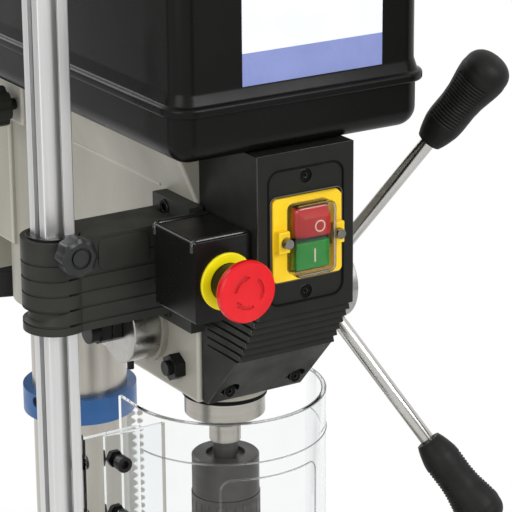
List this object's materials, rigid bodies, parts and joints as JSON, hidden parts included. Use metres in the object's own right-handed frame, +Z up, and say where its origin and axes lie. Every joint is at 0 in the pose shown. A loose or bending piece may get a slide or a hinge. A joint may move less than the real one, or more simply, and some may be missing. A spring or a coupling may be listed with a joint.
{
  "type": "bench drill",
  "caption": "Bench drill with belt cover, quill feed handles, drill chuck, clear swing guard, emergency stop, tilting table on a rack-and-pinion column, and slotted base.",
  "frame": {"origin": "centre of the four bench bolt holes, on the underside of the base", "axes": "+Z up along the column; +Y from the operator to the back; +X to the operator's right"},
  "size_m": [0.3395, 0.5935, 0.99],
  "materials": {
    "alu": "anodised",
    "base_paint": "satin grey-green paint",
    "belt": "moulded V-belt",
    "black_gloss": "semi-gloss moulding",
    "black_matte": "fine moulding grain",
    "boot": "clear soft cover",
    "cast": "satin grey-green paint",
    "chrome": "polished",
    "clear": "clear moulded",
    "collar": "blue",
    "dark_steel": "blackened",
    "green": "moulded",
    "grip": "ribbed",
    "label": "bare printed plate",
    "motor": "black paint",
    "panel": "matte moulding",
    "pulley_alu": "turned",
    "red": "moulded",
    "ring_yellow": "moulded",
    "steel": "ground",
    "yellow": "moulded"
  },
  "bodies": {
    "machine": {"base": "base_paint", "column_flange": "cast", "flange_bolts": "dark_steel", "column": "steel", "rack_collar": "collar", "set_screws": "dark_steel", "head_casting": "cast", "front_panel": "panel", "case_screws": "dark_steel", "switch_frame": "yellow", "switch_cover": "boot", "estop_box": "black_matte", "estop_ring": "ring_yellow", "guard_bracket": "black_matte", "belt_tray": "black_gloss", "spring_can": "chrome", "return_spring": "steel", "spindle_belt": "belt", "motor_belt": "belt"},
    "rack": {"rack": "steel"},
    "table_bracket": {"table_bracket": "cast", "tilt_bolt": "dark_steel"},
    "lift_pinion": {"lift_pinion": "steel"},
    "lift_crank": {"lift_crank": "dark_steel"},
    "crank_grip": {"crank_grip": "grip"},
    "clamp_lever": {"clamp_lever": "dark_steel"},
    "table": {"table": "cast"},
    "quill": {"quill": "steel"},
    "feed": {"feed_shaft": "steel", "feed_hub": "chrome", "feed_grips": "grip"},
    "depth_ring": {"depth_ring": "alu"},
    "spindle": {"spindle": "steel", "chuck_body": "dark_steel"},
    "chuck_sleeve": {"chuck_sleeve": "dark_steel"},
    "jaw_1": {"chuck_jaw_1": "steel"},
    "jaw_2": {"chuck_jaw_2": "steel"},
    "jaw_3": {"chuck_jaw_3": "steel"},
    "spindle_pulley": {"spindle_pulley": "pulley_alu"},
    "idler_arm": {"idler_arm": "steel"},
    "idler_pulley": {"idler_pulley": "pulley_alu"},
    "motor": {"motor_body": "motor", "motor_plate": "cast", "terminal_box": "black_matte"},
    "rotor": {"motor_rotor": "steel"},
    "tension_lever": {"tension_lever": "dark_steel"},
    "slide_lock_knob": {"slide_lock_knob": "black_matte"},
    "lid": {"belt_lid": "black_gloss", "label_plate": "label"},
    "lid_latch": {"lid_latch": "black_matte"},
    "start_button": {"start_button": "green"},
    "stop_button": {"stop_button": "red"},
    "estop_stem": {"estop_stem": "steel"},
    "estop_button": {"estop_button": "red"},
    "guard_bush": {"guard_bush": "black_matte"},
    "guard": {"guard_profile": "alu", "guard_plate": "clear", "guard_shield": "clear", "guard_screws": "dark_steel"},
    "guard_knob": {"guard_knob": "black_matte"}
  },
  "joints": [
    {"name": "table_swing", "type": "hinge", "parent": "machine", "child": "rack", "pos_m": [0, 0.142, 0.3], "axis": [0, 0, 1], "range_deg": [-90, 90]},
    {"name": "table_lift", "type": "slide", "parent": "rack", "child": "table_bracket", "axis": [0, 0, -1], "range_m": [-0.12, 0.13]},
    {"name": "lift_pinion_turn", "type": "hinge", "parent": "table_bracket", "child": "lift_pinion", "pos_m": [0.0538, 0.142, 0.285], "axis": [0, 1, 0], "range_deg": [-600, 650]},
    {"name": "lift_crank_turn", "type": "hinge", "parent": "table_bracket", "child": "lift_crank", "pos_m": [0.1, 0.156, 0.3073], "axis": [1, 0, 0], "range_deg": [-2400, 2600]},
    {"name": "crank_grip_spin", "type": "hinge", "parent": "lift_crank", "child": "crank_grip", "pos_m": [0.14, 0.156, 0.2413], "axis": [1, 0, 0], "continuous": true},
    {"name": "clamp_lever_turn", "type": "hinge", "parent": "table_bracket", "child": "clamp_lever", "pos_m": [-0.062, 0.142, 0.285], "axis": [0, 1, 0], "range_deg": [0, 75]},
    {"name": "table_tilt", "type": "hinge", "parent": "table_bracket", "child": "table", "pos_m": [0, 0, 0.29], "axis": [0, 1, 0], "range_deg": [-45, 45]},
    {"name": "quill_feed", "type": "slide", "parent": "machine", "child": "quill", "axis": [0, 0, -1], "range_m": [0, 0.08], "stiffness_N_per_m": 700, "springref_m": -0.1},
    {"name": "feed_turn", "type": "hinge", "parent": "machine", "child": "feed", "pos_m": [0.05, -0.03138, 0.7313], "axis": [1, 0, 0], "range_deg": [-1, 438]},
    {"name": "depth_ring_turn", "type": "hinge", "parent": "machine", "child": "depth_ring", "pos_m": [0.06, -0.03138, 0.7313], "axis": [1, 0, 0], "range_deg": [0, 300]},
    {"name": "spindle_spin", "type": "hinge", "parent": "quill", "child": "spindle", "pos_m": [0, -0.0665, 0.7], "axis": [0, 0, 1], "continuous": true},
    {"name": "chuck_sleeve_turn", "type": "hinge", "parent": "spindle", "child": "chuck_sleeve", "pos_m": [0, -0.0665, 0.6], "axis": [0, 0, 1], "range_deg": [0, 300]},
    {"name": "jaw_1_slide", "type": "slide", "parent": "spindle", "child": "jaw_1", "axis": [0.225, 0, 0.9744], "range_m": [0, 0.009]},
    {"name": "jaw_2_slide", "type": "slide", "parent": "spindle", "child": "jaw_2", "axis": [-0.1125, 0.1948, 0.9744], "range_m": [0, 0.009]},
    {"name": "jaw_3_slide", "type": "slide", "parent": "spindle", "child": "jaw_3", "axis": [-0.1125, -0.1948, 0.9744], "range_m": [0, 0.009]},
    {"name": "spindle_pulley_spin", "type": "hinge", "parent": "machine", "child": "spindle_pulley", "pos_m": [0, -0.0665, 0.9], "axis": [0, 0, 1], "continuous": true},
    {"name": "idler_swing", "type": "hinge", "parent": "machine", "child": "idler_arm", "pos_m": [0, 0.082, 0.88], "axis": [0, 0, 1], "range_deg": [-1, 8], "deforming": ["spindle_belt"]},
    {"name": "idler_spin", "type": "hinge", "parent": "idler_arm", "child": "idler_pulley", "pos_m": [0, 0.1, 0.9], "axis": [0, 0, 1], "continuous": true},
    {"name": "motor_slide", "type": "slide", "parent": "machine", "child": "motor", "axis": [0, -1, 0], "range_m": [0, 0.008], "deforming": ["motor_belt"]},
    {"name": "motor_spin", "type": "hinge", "parent": "motor", "child": "rotor", "pos_m": [0, 0.275, 0.9], "axis": [0, 0, 1], "continuous": true},
    {"name": "tension_lever_turn", "type": "hinge", "parent": "machine", "child": "tension_lever", "pos_m": [0.05, 0.176, 0.79], "axis": [-1, 0, 0], "range_deg": [-1, 62]},
    {"name": "slide_lock_turn", "type": "hinge", "parent": "machine", "child": "slide_lock_knob", "pos_m": [-0.07, 0.107, 0.852], "axis": [1, 0, 0], "range_deg": [-180, 180]},
    {"name": "lid_open", "type": "hinge", "parent": "machine", "child": "lid", "pos_m": [0.0981, 0.1, 0.9066], "axis": [0, 1, 0], "range_deg": [0, 78]},
    {"name": "lid_latch_turn", "type": "hinge", "parent": "machine", "child": "lid_latch", "pos_m": [-0.09, 0.25, 0.9012], "axis": [1, 0, 0], "range_deg": [0, 90]},
    {"name": "start_press", "type": "slide", "parent": "machine", "child": "start_button", "axis": [0, 1, 0], "range_m": [0, 0.0025], "stiffness_N_per_m": 400},
    {"name": "stop_press", "type": "slide", "parent": "machine", "child": "stop_button", "axis": [0, 1, 0], "range_m": [0, 0.0025], "stiffness_N_per_m": 400},
    {"name": "estop_press", "type": "slide", "parent": "machine", "child": "estop_stem", "axis": [0, 1, 0], "range_m": [0, 0.005]},
    {"name": "estop_twist", "type": "hinge", "parent": "estop_stem", "child": "estop_button", "pos_m": [-0.054, -0.17, 0.7984], "axis": [0, 1, 0], "range_deg": [0, 45]},
    {"name": "guard_turn", "type": "hinge", "parent": "machine", "child": "guard_bush", "pos_m": [-0.131, -0.08, 0.79], "axis": [0, 0, -1], "range_deg": [0, 95]},
    {"name": "guard_height", "type": "slide", "parent": "guard_bush", "child": "guard", "axis": [0, 0, -1], "range_m": [-0.02, 0.08]},
    {"name": "guard_knob_turn", "type": "hinge", "parent": "machine", "child": "guard_knob", "pos_m": [-0.131, -0.1, 0.815], "axis": [0, 1, 0], "range_deg": [-180, 180]}
  ],
  "couplings": [
    {"joint": "lift_pinion_turn", "follows": "table_lift", "rad_per_m": 83.333},
    {"joint": "lift_crank_turn", "follows": "table_lift", "rad_per_m": 333.33},
    {"joint": "feed_turn", "follows": "quill_feed", "rad_per_m": 95.238},
    {"joint": "jaw_1_slide", "follows": "chuck_sleeve_turn", "m_per_rad": 0.0017172},
    {"joint": "jaw_2_slide", "follows": "chuck_sleeve_turn", "m_per_rad": 0.0017172},
    {"joint": "jaw_3_slide", "follows": "chuck_sleeve_turn", "m_per_rad": 0.0017172},
    {"joint": "spindle_spin", "follows": "motor_spin", "ratio": 0.38793},
    {"joint": "spindle_pulley_spin", "follows": "motor_spin", "ratio": 0.38793},
    {"joint": "idler_spin", "follows": "motor_spin", "ratio": 0.46552},
    {"joint": "idler_swing", "follows": "motor_slide", "rad_per_m": 13.09},
    {"joint": "tension_lever_turn", "follows": "motor_slide", "rad_per_m": 130.9}
  ]
}
